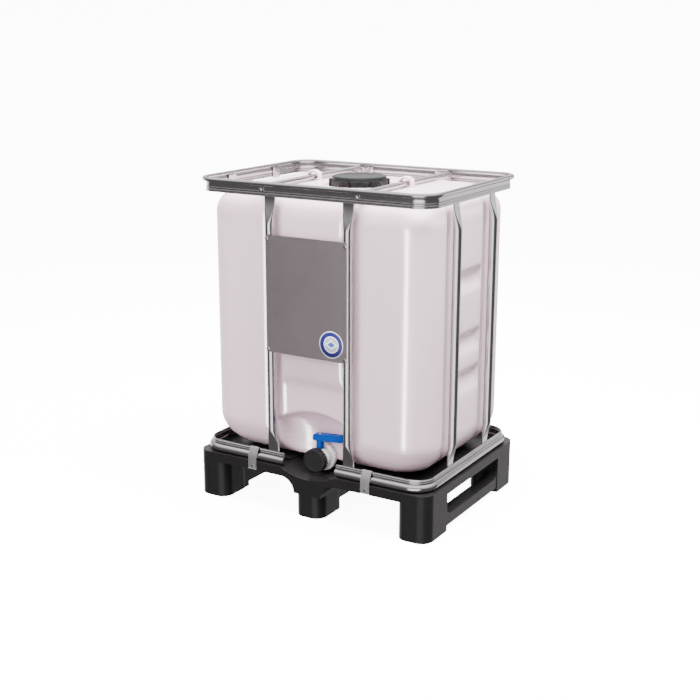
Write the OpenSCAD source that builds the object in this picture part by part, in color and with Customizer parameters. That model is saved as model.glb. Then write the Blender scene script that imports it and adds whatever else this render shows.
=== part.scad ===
// Small intermediate bulk container: a plastic tank in a steel frame on a moulded pallet.
// The origin is the middle of the footprint on the floor, +Z is up and the outlet faces -Y.

/* [Pallet] */
// Length of the pallet along X
pallet_l = 800; // [780:2:820]
// Width of the pallet along Y
pallet_w = 600; // [590:2:610]
// Corner radius of the pallet
pallet_r = 38; // [30:1:42]
// Height of the rim that carries the frame
rim_z = 142; // [136:1:150]
// Height of the bed that carries the tank
bed_z = 150; // [146:1:156]
// Thickness of the deck's edge
deck_t = 28; // [28:1:34]
// Length of a corner foot along X
foot_l = 104; // [96:1:120]
// Depth of a foot along Y
foot_w = 125; // [110:1:135]
// Width of the centre feet along X
mid_foot_l = 94; // [80:1:100]
// Radius of the feet's upright edges
foot_r = 34; // [24:1:38]
// Clearance under a runner
runner_lift = 15; // [8:1:20]
// Height of a runner's top
runner_top = 48; // [44:1:60]
// Width of a runner
runner_w = 42; // [40:1:56]

/* [Tank] */
// Half the tank's length along X
tank_x = 368; // [360:1:369]
// Half the tank's width along Y
tank_y = 268; // [260:1:269]
// Height of the tank's top
tank_top = 958; // [952:1:960]
// Wall thickness of the tank
tank_wall = 4; // [3:0.5:6]
// Radius of the tank's upright edges
tank_r = 80; // [70:1:90]
// Radius of the shoulders
shoulder_r = 78; // [60:1:80]
// Radius of the bottom edges
heel_r = 112; // [90:1:116]
// Width of the groove behind each upright
groove_w = 62; // [50:1:66]
// Depth of the groove behind each upright
groove_d = 13; // [8:1:16]

/* [Frame] */
// Diameter of the uprights
upright_d = 25; // [18:1:28]
// Distance from the middle to the uprights on the front and back
upright_x = 130; // [126:1:134]
// Distance from the middle to the uprights on the sides
upright_y = 118; // [110:1:124]
// Height of the upper rail's top
top_z = 984; // [982:1:988]
// Half the distance between the rails' inner faces along X
rail_x = 379; // [379:0.5:380]
// Half the distance between the rails' inner faces along Y
rail_y = 279; // [279:0.5:280]
// Corner radius of the rails' inner faces
rail_r = 54; // [46:1:60]
// Half the opening in the lower rail at the outlet
rail_gap = 90; // [84:1:94]
// Sheet thickness of the rails
sheet = 2; // [1.6:0.1:2]
// Distance from the middle to each cross bar
bar_x = 158; // [157:0.5:160]

/* [Plate and clips] */
// Width of the label plate
plate_w = 270; // [262:1:276]
// Height of the label plate
plate_h = 344; // [320:1:350]
// Height of the plate's lower edge
plate_z = 492; // [480:1:500]
// Diameter of the round sticker
sticker_d = 78; // [60:1:90]
// Distance from the middle to each clip
clip_x = 196; // [190:1:230]
// Width of a clip
clip_w = 30; // [24:1:34]

/* [Outlet] */
// Height of the outlet's axis
outlet_z = 165; // [164:1:168]
// Inner diameter of the outlet
outlet_d = 44; // [40:1:46]
// Distance from the middle to the valve's stem
stem_y = 225; // [225:1:226]
// Length of the lever from the stem to its tip
lever_l = 82; // [60:1:84]
// Outer diameter of the outlet cap
cap_d = 74; // [70:1:76]

/* [Lid] */
// Outer diameter of the lid across its lugs
lid_d = 181; // [178:1:184]
// Outer diameter of the filling neck
neck_d = 154; // [150:1:155]
// Height of the neck's rim
neck_z = 968; // [967:1:969]

/* [Hidden] */

$fn = 96;
eps = 1;

deck_z = rim_z - deck_t;
bed_inset = 56;
outlet_r = outlet_d / 2;
upright_r = upright_d / 2;
upright_off = 4.5;
flat_t = 4;
flat_w = 38;
post_y = rail_y + upright_off;
plate_t = 2;
plate_y = post_y + upright_r + plate_t;
rivet_r = 3;
bay_half = 97;
bay_floor = 117;
bay_r = (bay_half * bay_half + (rim_z - bay_floor) * (rim_z - bay_floor)) / (2 * (rim_z - bay_floor));
bay_back = 140;
mid_foot_w = foot_w + 11;
niche_r = 160;
niche_y = 350;
niche_z = 215;
niche_top_r = 112;
niche_top_y = 300;
arch_r = 230;
arch_z = 88;
ledge_high = 418;
ledge_low = 392;
fitting_y = 150;
outline_over = 0.6;
rail_low_h = 38;
bead_r = 11.4;
dish_z = tank_top - 16;
dish_r = 106;
bar_z = 969;
bar_h = 12;
bar_w = 24;
bar_bolt_z = top_z - 23;
eye_x = 46;
eye_t = 20;
nut_front = stem_y - 13;
nut_lip = 3;
flange_t = 3;
gasket_t = 2;
boss_front = nut_front - nut_lip - flange_t - gasket_t;
clip_inset = 3.6;
screw_gap = 0.1;
tab_t = 4.5;
lid_seal_t = 4;
lid_top = neck_z + lid_seal_t + 10;
lid_low = lid_top - 35;
cap_front = 262;
cap_back = 240;
spout_r = 31;
spout_front = 257;
flange_r = 36;
stem_r = 4;
hub_low = outlet_z + spout_r + 0.5;

// ---------------------------------------------------------------- shared shapes

// Rectangle with round corners, centred.
module round_rect(l, w, r) {
    square([l - 2 * r, w], center = true);
    square([l, w - 2 * r], center = true);
    for (x = [-1, 1], y = [-1, 1])
        translate([x * (l / 2 - r), y * (w / 2 - r)])
            circle(r);
}

// Outline of a bent strip of sheet: pts is its centre line, t its thickness.
function unit(v) = v / norm(v);
function normal_at(pts, i) =
    let (a = pts[max(i - 1, 0)], b = pts[min(i + 1, len(pts) - 1)], d = unit(b - a))
    [-d[1], d[0]];
function strip(pts, t) = concat(
    [for (i = [0:len(pts) - 1]) pts[i] + normal_at(pts, i) * t / 2],
    [for (i = [len(pts) - 1:-1:0]) pts[i] - normal_at(pts, i) * t / 2]
);

// Points on an arc, used in the rails' centre lines.
function arc(c, r, from, to, steps) =
    [for (i = [0:steps]) let (a = from + (to - from) * i / steps) c + r * [cos(a), sin(a)]];

// Sweeps a section round the rails' rectangle; x of the section points outwards.
// gap leaves the front side open for that distance on both sides of the middle.
module rail_ring(gap) {
    for (x = [-1, 1], y = [-1, 1])
        translate([x * (rail_x - rail_r), y * (rail_y - rail_r), 0])
            rotate([0, 0, (y > 0 ? (x > 0 ? 0 : 90) : (x > 0 ? 270 : 180))])
                rotate_extrude(angle = 90)
                    translate([rail_r, 0])
                        children();
    for (x = [-1, 1])
        translate([x * rail_x, x * (rail_y - rail_r), 0])
            rotate([90, 0, x > 0 ? 0 : 180])
                linear_extrude(2 * (rail_y - rail_r))
                    children();
    translate([rail_r - rail_x, rail_y, 0])
        rotate([90, 0, 90])
            linear_extrude(2 * (rail_x - rail_r))
                children();
    for (side = gap > 0 ? [-1, 1] : [0])
        translate([side < 0 ? -gap : rail_x - rail_r, -rail_y, 0])
            rotate([90, 0, 270])
                linear_extrude(side == 0 ? 2 * (rail_x - rail_r) : rail_x - rail_r - gap)
                    children();
}

// Places a child built along +Y on the side facing angle a, with its own +Y outwards.
module facing(a) {
    rotate([0, 0, a])
        children();
}

// ---------------------------------------------------------------- pallet

module bay_cut() {
    intersection() {
        translate([0, -bay_back, bay_floor + bay_r])
            rotate([90, 0, 0])
                cylinder(r = bay_r, h = pallet_w / 2 - bay_back + eps, $fn = 180);
        translate([-bay_half, -pallet_w / 2 - 2 * eps, bay_floor - eps])
            cube([2 * bay_half, pallet_w / 2 - bay_back + 3 * eps, 60]);
    }
}

module pallet_deck() {
    pocket_w = 76;
    pitch = 80;
    first = -3 * pitch + 2;
    columns = [[10, 85, 2, 4], [107, 85, 0, 5], [196, 85, 0, 5], [289, 50, 1, 4]];
    color("#26272a")
        difference() {
            union() {
                translate([0, 0, deck_z])
                    linear_extrude(deck_t)
                        round_rect(pallet_l, pallet_w, pallet_r);
                translate([0, 0, rim_z])
                    linear_extrude(bed_z - rim_z)
                        round_rect(pallet_l - 2 * bed_inset, pallet_w - 2 * bed_inset, 60);
            }
            bay_cut();
            for (x = [-1, 1], c = columns, row = [c[2]:c[3]])
                translate([x > 0 ? c[0] : -c[0] - c[1], first + row * pitch, deck_z - eps])
                    cube([c[1], pocket_w, bed_z - deck_z - 5 + eps]);
            for (x = [-1, 1], y = [-1, 1]) {
                translate([x * clip_x, y * pallet_w / 2, deck_z + deck_t / 2])
                    cube([clip_w + 2, 2 * clip_inset, deck_t + 2 * eps], center = true);
                translate([x * clip_x, y * (pallet_w / 2 + eps), deck_z + 12])
                    rotate([y * 90, 0, 0])
                        cylinder(r = 3 + screw_gap, h = 26 + eps);
                translate([x * (pallet_l / 2 - foot_l / 2), y * (pallet_w / 2 - foot_w / 2), deck_z - eps])
                    cylinder(r = 4 + screw_gap, h = 22 + eps);
            }
            translate([0, pallet_w / 2 - mid_foot_w / 2, deck_z - eps])
                cylinder(r = 4 + screw_gap, h = 22 + eps);
        }
}

// Side view of a skid along Y: two feet, the runner between them and its filleted ends.
module skid_side(foot) {
    half = pallet_w / 2;
    fillet = 26;
    difference() {
        translate([-half, 0])
            square([2 * half, deck_z]);
        translate([-half + foot, -eps])
            square([2 * (half - foot), runner_lift + eps]);
        difference() {
            translate([-half + foot, runner_top])
                square([2 * (half - foot), deck_z - runner_top + eps]);
            for (s = [-1, 1])
                translate([s * (half - foot) - (s > 0 ? fillet : 0), runner_top])
                    difference() {
                        square([fillet, fillet]);
                        translate([s > 0 ? 0 : fillet, fillet])
                            circle(fillet);
                    }
        }
    }
}

// Plan of a corner skid: full width at the feet, narrower along the runner on its +X side.
module corner_skid_plan(side) {
    for (y = [-1, 1])
        translate([0, y * (pallet_w / 2 - foot_w / 2)])
            foot_plan(side, y);
    translate([foot_l / 2 - runner_w - 2, -pallet_w / 2 + foot_w / 2])
        square([runner_w, pallet_w - foot_w]);
}

// A corner foot: the pallet's own corner radius outside, the foot radius elsewhere.
module foot_plan(side, y) {
    intersection() {
        translate([side * -(pallet_l / 2 - foot_l / 2), -y * (pallet_w / 2 - foot_w / 2)])
            round_rect(pallet_l, pallet_w, pallet_r);
        union() {
            round_rect(foot_l, foot_w, foot_r);
            translate([side > 0 ? 0 : -foot_l / 2, -foot_w / 2])
                square([foot_l / 2, foot_w]);
        }
    }
}

module corner_skid(side) {
    screw_y = pallet_w / 2 - foot_w / 2;
    translate([side * (pallet_l / 2 - foot_l / 2), 0, 0])
        difference() {
            intersection() {
                rotate([90, 0, 90])
                    translate([0, 0, -foot_l])
                        linear_extrude(2 * foot_l)
                            skid_side(foot_w);
                linear_extrude(deck_z)
                    corner_skid_plan(side);
            }
            for (y = [-1, 1])
                translate([0, y * screw_y, 0]) {
                    foot_hollow(foot_l, foot_w);
                    screw_hole();
                }
        }
}

// Hole up through a foot for its screw, with room for the head.
module screw_hole() {
    translate([0, 0, -eps])
        cylinder(r = 12, h = deck_z - 20 + eps);
    translate([0, 0, -eps])
        cylinder(r = 4 + screw_gap, h = deck_z + 2 * eps);
}

// Hollow that leaves a foot with walls, a floor, two ribs and a post; the deck closes it.
module foot_hollow(l, w) {
    wall = 7;
    difference() {
        translate([0, 0, 9])
            linear_extrude(deck_z)
                round_rect(l - 2 * wall, w - 2 * wall, foot_r - wall);
        cylinder(r = 18, h = 2 * deck_z);
        cube([l, 5, 4 * deck_z], center = true);
        cube([5, w, 4 * deck_z], center = true);
    }
}

module skid_left() {
    color("#232427")
        corner_skid(-1);
}

module skid_right() {
    color("#232427")
        corner_skid(1);
}

// Front view of a centre foot: it flares into the deck with a concave arc on each side.
module flare_front() {
    flare = 45;
    difference() {
        translate([-mid_foot_l / 2 - flare, deck_z - flare])
            square([mid_foot_l + 2 * flare, flare]);
        for (x = [-1, 1])
            translate([x * (mid_foot_l / 2 + flare), deck_z - flare])
                circle(flare);
    }
    translate([-mid_foot_l / 2, 0])
        square([mid_foot_l, deck_z]);
}

module skid_centre() {
    half = pallet_w / 2;
    color("#232427")
        difference() {
            union() {
                intersection() {
                    rotate([90, 0, 90])
                        translate([0, 0, -100])
                            linear_extrude(200)
                                skid_side(mid_foot_w);
                    union() {
                        for (y = [-1, 1])
                            intersection() {
                                translate([0, y > 0 ? half : -half + mid_foot_w, 0])
                                    rotate([90, 0, 0])
                                        linear_extrude(mid_foot_w)
                                            flare_front();
                                union() {
                                    translate([0, y * (half - mid_foot_w / 2), 0])
                                        linear_extrude(deck_z)
                                            round_rect(mid_foot_l, mid_foot_w, foot_r);
                                    translate([0, y * (half - mid_foot_w / 2), deck_z - 45])
                                        linear_extrude(45)
                                            square([200, mid_foot_w], center = true);
                                }
                            }
                        translate([-runner_w / 2, -half + mid_foot_w / 2, 0])
                            cube([runner_w, 2 * half - mid_foot_w, deck_z]);
                    }
                }
            }
            for (y = [-1, 1])
                translate([0, y * (half - mid_foot_w / 2), 0])
                    foot_hollow(mid_foot_l, mid_foot_w);
            translate([0, half - mid_foot_w / 2, 0])
                screw_hole();
        }
}

// One screw up through a foot into the deck.
module skid_screw(reach) {
    translate([0, 0, deck_z - 20 - 5])
        cylinder(r = 8, h = 5);
    translate([0, 0, deck_z - 20])
        cylinder(r = 4, h = 20 + reach);
}

module skid_screws() {
    color("#9a9da1") {
        for (x = [-1, 1], y = [-1, 1])
            translate([x * (pallet_l / 2 - foot_l / 2), y * (pallet_w / 2 - foot_w / 2), 0])
                skid_screw(22);
        translate([0, pallet_w / 2 - mid_foot_w / 2, 0])
            skid_screw(22);
    }
}

// ---------------------------------------------------------------- tank

// Plan of the tank; e moves every face inwards by that much.
module tank_plan(e) {
    groove_r = (groove_w * groove_w / 4 + groove_d * groove_d) / (2 * groove_d);
    difference() {
        round_rect(2 * (tank_x - e), 2 * (tank_y - e), tank_r - e);
        for (x = [-1, 1], y = [-1, 1]) {
            translate([x * upright_x, y * (tank_y + groove_r - groove_d)])
                circle(groove_r + e);
            translate([x * (tank_x + groove_r - groove_d), y * upright_y])
                circle(groove_r + e);
        }
    }
}

// Upright outline of the tank: half_l wide, with round shoulders and heels.
module tank_elevation(half_l, e) {
    low = bed_z + e;
    high = tank_top - e;
    heel = heel_r - e;
    top = shoulder_r - e;
    w = half_l - e;
    translate([-w, low + heel])
        square([2 * w, high - top - low - heel]);
    translate([-w + heel, low])
        square([2 * (w - heel), heel + eps]);
    translate([-w + top, high - top - eps])
        square([2 * (w - top), top + eps]);
    for (s = [-1, 1]) {
        translate([s * (w - heel), low + heel])
            circle(heel);
        translate([s * (w - top), high - top])
            circle(top);
    }
}

// Section of one sunken band on the tank's sides: steep above, long slope below.
module band_section(high, floor_z, low, depth, e) {
    polygon([
        [0, high + e], [depth + e, floor_z + 10], [depth + e, floor_z - 10], [0, low - e],
        [-20, low - e], [-20, high + e]
    ]);
}

// The tank's solid form; e = 0 is the outside and e = tank_wall the inside.
module tank_form(e) {
    band_half = upright_y - groove_w / 2 + e;
    difference() {
        intersection() {
            translate([0, 0, bed_z])
                linear_extrude(tank_top - bed_z)
                    tank_plan(e);
            translate([0, tank_y + eps, 0])
                rotate([90, 0, 0])
                    linear_extrude(2 * (tank_y + eps))
                        tank_elevation(tank_x + outline_over, e);
            translate([-tank_x - eps, 0, 0])
                rotate([90, 0, 90])
                    linear_extrude(2 * (tank_x + eps))
                        tank_elevation(tank_y + outline_over, e);
        }
        for (side = [0, 1], band = [[738, 708, 672], [552, 525, 485], [440, 412, 366]])
            rotate([0, 0, side * 180])
                translate([tank_x, band_half, 0])
                    rotate([90, 0, 0])
                        linear_extrude(2 * band_half)
                            mirror([1, 0])
                                band_section(band[0], band[1], band[2], 18, e);
        niche(e);
        translate([-108 - e, -tank_y, 0])
            rotate([90, 0, 90])
                linear_extrude(216 + 2 * e)
                    polygon([
                        [-20, 0], [groove_d + e, 0], [groove_d + e, ledge_low],
                        [0, ledge_high + e], [-20, ledge_high + e]
                    ]);
    }
}

// The outlet niche: round in plan, arched from the front and rolled over at its top.
module niche(e) {
    intersection() {
        translate([0, -niche_y, 0])
            cylinder(r = niche_r + e, h = 500, $fn = 128);
        translate([0, -100, arch_z])
            rotate([90, 0, 0])
                cylinder(r = arch_r + e, h = 300, $fn = 160);
        union() {
            translate([-250, -niche_top_y, niche_z])
                rotate([0, 90, 0])
                    cylinder(r = niche_top_r + e, h = 500, $fn = 128);
            translate([-250, -niche_top_y - 80, 0])
                cube([500, 80 + niche_top_r + e, niche_z]);
        }
    }
}

// One eye on the tank's top that a cross bar passes through.
module tank_eye(x) {
    translate([x, eye_t / 2, 0])
        rotate([90, 0, 0])
            linear_extrude(eye_t)
                difference() {
                    union() {
                        translate([-eye_x / 2, tank_top - 10])
                            square([eye_x, 24]);
                        translate([0, tank_top + 14])
                            scale([1, 0.75])
                                circle(eye_x / 2);
                    }
                    translate([-bar_w / 2 - 4, bar_z - bar_h / 2 - 2])
                        square([bar_w + 8, bar_h + 1]);
                    translate([0, bar_z + bar_h / 2 - 1])
                        scale([1, 0.55])
                            circle(bar_w / 2 + 4);
                }
}

module tank() {
    neck_r = neck_d / 2;
    color("#e6e1e8")
        difference() {
            union() {
                difference() {
                    tank_form(0);
                    translate([0, 0, dish_z])
                        cylinder(r = dish_r, h = 40);
                }
                translate([0, 0, dish_z - 20])
                    cylinder(r = neck_r, h = neck_z - dish_z + 20);
                for (x = [-bar_x, bar_x])
                    tank_eye(x);
            }
            difference() {
                tank_form(tank_wall);
                translate([0, 0, dish_z - tank_wall])
                    cylinder(r = dish_r + tank_wall, h = 40);
            }
            translate([0, 0, dish_z - 40])
                cylinder(r = neck_r - 6, h = 100);
            translate([0, -fitting_y, outlet_z])
                rotate([90, 0, 0])
                    cylinder(r = spout_r, h = 120);
        }
}

// Outlet neck welded into the back of the niche; the union nut sits on its threaded end.
module outlet_fitting() {
    color("#e6e1e8")
        outlet_ring(fitting_y, boss_front, spout_r, outlet_r);
}

// ---------------------------------------------------------------- frame

// Section of the upper rail: x outwards from the inner face, y up.
module top_rail_section() {
    bead_r = 7;
    tail = [
        [6, top_z - 13], [4, top_z - 14.2], [2.2, top_z - 16.5], [1.3, top_z - 19], [1, top_z - 22],
        [1, top_z - 26], [1.8, top_z - 27.6], [3.2, top_z - 29], [1.8, top_z - 30.4], [1, top_z - 32],
        [1.8, top_z - 33.6], [3.2, top_z - 35], [1.8, top_z - 36.6], [1, top_z - 38], [1, top_z - 41]
    ];
    difference() {
        union() {
            translate([bead_r, top_z - bead_r])
                circle(bead_r, $fn = 48);
            polygon(strip(tail, sheet));
            translate([0, top_z - 42])
                square([5, sheet]);
        }
        translate([bead_r, top_z - bead_r])
            circle(bead_r - sheet, $fn = 48);
    }
}

// Section of the lower rail: a half-round bead below a ribbed flange, open on the inner side.
module bottom_rail_section() {
    z = rim_z;
    top = rim_z + rail_low_h;
    line = concat(
        [[1, z + 4], [1.4, z + 2]],
        arc([2, z + bead_r + 1], bead_r, -85, 80, 18),
        [
            [1.6, top - 13.6], [1, top - 12.4], [1.8, top - 11], [3.2, top - 9.6], [1.8, top - 8.2],
            [1, top - 6.8], [1.8, top - 5.4], [3.2, top - 4], [1.8, top - 2.8], [1, top - 1.8], [1, top]
        ]
    );
    polygon(strip(line, sheet));
}

module bottom_rail() {
    color("#b9bcc0")
        rail_ring(rail_gap)
            bottom_rail_section();
}

module top_rail() {
    color("#b9bcc0")
        difference() {
            rail_ring(0)
                top_rail_section();
            for (x = [-bar_x, bar_x])
                translate([x, 0, bar_bolt_z])
                    rotate([90, 0, 0])
                        cylinder(r = 3 + screw_gap, h = pallet_w, center = true);
        }
}

// One upright: a tube whose ends are pressed flat against the rails' inner faces.
// Local +Y points outwards and y = 0 is the rails' inner face.
module upright(holes) {
    low_tube = 250;
    high_tube = 862;
    low_flat = rim_z + 8;
    high_flat = top_z - 11;
    low_press = 66;
    high_press = 79;
    slice = 0.5;
    color("#c3c6ca")
        difference() {
            union() {
                translate([0, upright_off, low_tube])
                    cylinder(r = upright_r, h = high_tube - low_tube);
                translate([-flat_w / 2, -flat_t, low_flat])
                    cube([flat_w, flat_t, low_tube - low_press - low_flat]);
                translate([-flat_w / 2, -flat_t, high_tube + high_press])
                    cube([flat_w, flat_t, high_flat - high_tube - high_press]);
                hull() {
                    translate([0, upright_off, low_tube])
                        cylinder(r = upright_r, h = slice, $fn = 40);
                    translate([-flat_w / 2, -flat_t, low_tube - low_press - slice])
                        cube([flat_w, flat_t, slice]);
                }
                hull() {
                    translate([0, upright_off, high_tube - slice])
                        cylinder(r = upright_r, h = slice, $fn = 40);
                    translate([-flat_w / 2, -flat_t, high_tube + high_press])
                        cube([flat_w, flat_t, slice]);
                }
            }
            translate([0, upright_off, low_tube + 3])
                cylinder(r = upright_r - 1.6, h = high_tube - low_tube - 6);
            for (z = holes)
                translate([0, upright_off, z])
                    rotate([-90, 0, 0])
                        cylinder(r = rivet_r + screw_gap, h = upright_r + eps);
        }
}

plate_holes = [plate_z + 9, plate_z + plate_h - 11];

module upright_front_left() {
    translate([-upright_x, -rail_y, 0])
        facing(180)
            upright(plate_holes);
}

module upright_front_right() {
    translate([upright_x, -rail_y, 0])
        facing(180)
            upright(plate_holes);
}

module upright_back_left() {
    translate([-upright_x, rail_y, 0])
        upright([]);
}

module upright_back_right() {
    translate([upright_x, rail_y, 0])
        upright([]);
}

module upright_left_front() {
    translate([-rail_x, -upright_y, 0])
        facing(90)
            upright([]);
}

module upright_left_back() {
    translate([-rail_x, upright_y, 0])
        facing(90)
            upright([]);
}

module upright_right_front() {
    translate([rail_x, -upright_y, 0])
        facing(-90)
            upright([]);
}

module upright_right_back() {
    translate([rail_x, upright_y, 0])
        facing(-90)
            upright([]);
}

// A cross bar: a flat oval tube with a tongue at each end that turns down onto the rail.
module cross_bar(x) {
    tube_half = rail_y - 17;
    tab_w = 18;
    tab_low = top_z - 35;
    bar_top = bar_z + bar_h / 2;
    color("#bfc2c6")
        translate([x, 0, 0])
            difference() {
                union() {
                    translate([0, tube_half, bar_z])
                        rotate([90, 0, 0])
                            linear_extrude(2 * tube_half)
                                round_rect(bar_w, bar_h, bar_h / 2 - 0.5);
                    for (a = [0, 180])
                        facing(a) {
                            translate([-tab_w / 2, tube_half - 2, bar_top - 2.5])
                                cube([tab_w, rail_y - tube_half + 2, 2.5]);
                            translate([-tab_w / 2, rail_y - tab_t, tab_low])
                                cube([tab_w, tab_t, bar_top - tab_low]);
                        }
                }
                translate([0, tube_half - 6, bar_z])
                    rotate([90, 0, 0])
                        linear_extrude(2 * (tube_half - 6))
                            round_rect(bar_w - 4, bar_h - 4, bar_h / 2 - 2.5);
                translate([0, 0, bar_bolt_z])
                    rotate([90, 0, 0])
                        cylinder(r = 3 + screw_gap, h = pallet_w, center = true);
            }
}

module cross_bar_left() {
    cross_bar(-bar_x);
}

module cross_bar_right() {
    cross_bar(bar_x);
}

// Bolts that hold the cross bars, with their heads outside the upper rail.
module cross_bar_bolts() {
    color("#d7d9dc")
        for (x = [-bar_x, bar_x], a = [0, 180])
            facing(a)
                translate([x, rail_y + 4.4, bar_bolt_z]) {
                    rotate([-90, 0, 0])
                        cylinder(r = 6, h = 3.5);
                    rotate([90, 0, 0])
                        cylinder(r = 3, h = 18);
                }
}

module cross_bar_nuts() {
    color("#d7d9dc")
        for (x = [-bar_x, bar_x], a = [0, 180])
            facing(a)
                translate([x, rail_y - tab_t, bar_bolt_z])
                    rotate([90, 0, 0])
                        difference() {
                            cylinder(r = 5.7, h = 5, $fn = 6);
                            translate([0, 0, -eps])
                                cylinder(r = 3, h = 7);
                        }
}

// ---------------------------------------------------------------- label plate

module label_plate() {
    fold = 7;
    color("#6f6a6c")
        difference() {
            union() {
                translate([-plate_w / 2, -plate_y, plate_z])
                    cube([plate_w, plate_t, plate_h]);
                for (z = [plate_z, plate_z + plate_h - 1.5])
                    translate([-plate_w / 2 + 30, -plate_y + plate_t / 2, z])
                        cube([plate_w - 60, fold, 1.5]);
            }
            for (x = [-1, 1], z = plate_holes)
                translate([x * upright_x, -plate_y - eps, z])
                    rotate([-90, 0, 0])
                        cylinder(r = rivet_r + screw_gap, h = plate_t + 2 * eps);
        }
}

module plate_rivets() {
    color("#c9cbce")
        for (x = [-1, 1], z = plate_holes)
            translate([x * upright_x, -plate_y, z])
                rotate([-90, 0, 0]) {
                    translate([0, 0, -2])
                        cylinder(r = 5.5, h = 2);
                    cylinder(r = rivet_r, h = plate_t + 6);
                }
}

module round_sticker() {
    color("#1f4f9a")
        translate([85, -plate_y, plate_z + 49])
            rotate([90, 0, 0])
                cylinder(d = sticker_d, h = 0.4);
}

// ---------------------------------------------------------------- clips

// One clip: hooked over the lower rail's flange and screwed to the deck's edge.
// Local +Y points outwards.
module clip() {
    face_y = pallet_w / 2 - clip_inset + 1;
    top = rim_z + rail_low_h;
    line = [
        [rail_y - 1.3, top - 12], [rail_y - 1.3, top - 0.5], [rail_y - 0.3, top + 1.2],
        [rail_y + 4, top + 1.2], [rail_y + 6, top - 0.5], [rail_y + 15.9, rim_z + 17],
        [face_y, rim_z + 8], [face_y, rim_z - 2], [face_y, deck_z + 1]
    ];
    color("#a6a8ab")
        difference() {
            translate([-clip_w / 2, 0, 0])
                rotate([90, 0, 90])
                    linear_extrude(clip_w)
                        polygon(strip(line, 2));
            translate([0, rail_y, deck_z + 12])
                rotate([-90, 0, 0])
                    cylinder(r = 3 + screw_gap, h = 40);
        }
}

module clip_front_left() {
    translate([-clip_x, 0, 0])
        facing(180)
            clip();
}

module clip_front_right() {
    translate([clip_x, 0, 0])
        facing(180)
            clip();
}

module clip_back_left() {
    translate([-clip_x, 0, 0])
        clip();
}

module clip_back_right() {
    translate([clip_x, 0, 0])
        clip();
}

module clip_screws() {
    color("#3a3b3d")
        for (x = [-clip_x, clip_x], a = [0, 180])
            facing(a)
                translate([x, pallet_w / 2 - clip_inset + 2, deck_z + 12])
                    rotate([90, 0, 0]) {
                        translate([0, 0, -1.5])
                            cylinder(r = 5, h = 1.5);
                        cylinder(r = 3, h = 22);
                    }
}

// ---------------------------------------------------------------- outlet valve

// Ring along the outlet's axis between y = -near and y = -far.
module outlet_ring(near, far, outer, inner) {
    translate([0, -near, outlet_z])
        rotate([90, 0, 0])
            difference() {
                cylinder(r = outer, h = far - near);
                translate([0, 0, -eps])
                    cylinder(r = inner, h = far - near + 2 * eps);
            }
}

// Solid round along the outlet's axis between y = -near and y = -far.
module outlet_rod(near, far, r) {
    translate([0, -near, outlet_z])
        rotate([90, 0, 0])
            cylinder(r = r, h = far - near);
}

module outlet_gasket() {
    color("#2b2b2d")
        outlet_ring(boss_front, boss_front + gasket_t, spout_r - 1, outlet_r);
}

// Collar that clamps the valve's flange to the tank's outlet.
module union_nut() {
    nut_r = 41;
    nut_back = 199;
    color("#efedf0")
        difference() {
            outlet_rod(nut_back, nut_front, nut_r);
            outlet_rod(nut_back - eps, boss_front + eps, spout_r);
            outlet_rod(boss_front, nut_front - nut_lip, flange_r + 0.1);
            outlet_rod(boss_front, nut_front + eps, spout_r + 0.2);
            for (i = [0:11])
                translate([0, -nut_back + eps, outlet_z])
                    rotate([90, i * 30 + 15, 0])
                        translate([nut_r + 2, 0, 0])
                            cylinder(r = 4, h = nut_front - nut_back - 2);
        }
}

module valve_body() {
    near = boss_front + gasket_t;
    seat_r = outlet_r + 2;
    color("#f1eff2")
        difference() {
            union() {
                outlet_rod(near, spout_front, spout_r);
                outlet_rod(near, near + flange_t, flange_r);
                translate([0, -stem_y, outlet_z])
                    cylinder(r = 9, h = hub_low - outlet_z - 0.1);
            }
            outlet_rod(near - eps, spout_front + eps, outlet_r);
            outlet_rod(stem_y - 5, stem_y + 5, seat_r);
            translate([0, -stem_y, outlet_z - outlet_r - 6])
                cylinder(r = stem_r + 0.05, h = 80);
            translate([0, -stem_y, outlet_z + outlet_r + 3])
                cylinder(r = 6.5, h = 40);
        }
}

// Elastomer seat that lies in a groove round the disc.
module seat_ring() {
    color("#2b2b2d")
        difference() {
            outlet_ring(stem_y - 5, stem_y + 5, outlet_r + 2, outlet_r - 1);
            translate([0, -stem_y, outlet_z - 60])
                cylinder(r = stem_r + 0.05, h = 120);
        }
}

module stem_seal() {
    color("#2b2b2d")
        translate([0, -stem_y, outlet_z + outlet_r + 3])
            difference() {
                cylinder(r = 6.5, h = 3);
                translate([0, 0, -eps])
                    cylinder(r = stem_r + 0.05, h = 10);
            }
}

// The butterfly disc, closed across the outlet; its hub holds the stem.
module valve_disc() {
    disc_r = outlet_r - 1.4;
    color("#e9e7ea")
        difference() {
            union() {
                translate([0, -stem_y + 2.5, outlet_z])
                    rotate([90, 0, 0])
                        cylinder(r = disc_r, h = 5);
                translate([0, -stem_y, outlet_z - disc_r + 2])
                    cylinder(r = 7, h = 2 * disc_r - 4);
            }
            translate([0, -stem_y, outlet_z - outlet_r - 10])
                cylinder(r = stem_r, h = 80);
        }
}

module valve_stem() {
    color("#c9cbce")
        difference() {
            translate([0, -stem_y, outlet_z - outlet_r - 5.9])
                cylinder(r = stem_r, h = hub_low + 34 - outlet_z + outlet_r + 5.9);
            translate([0, -stem_y, hub_low + 18])
                cylinder(r = 2, h = 40);
        }
}

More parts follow.
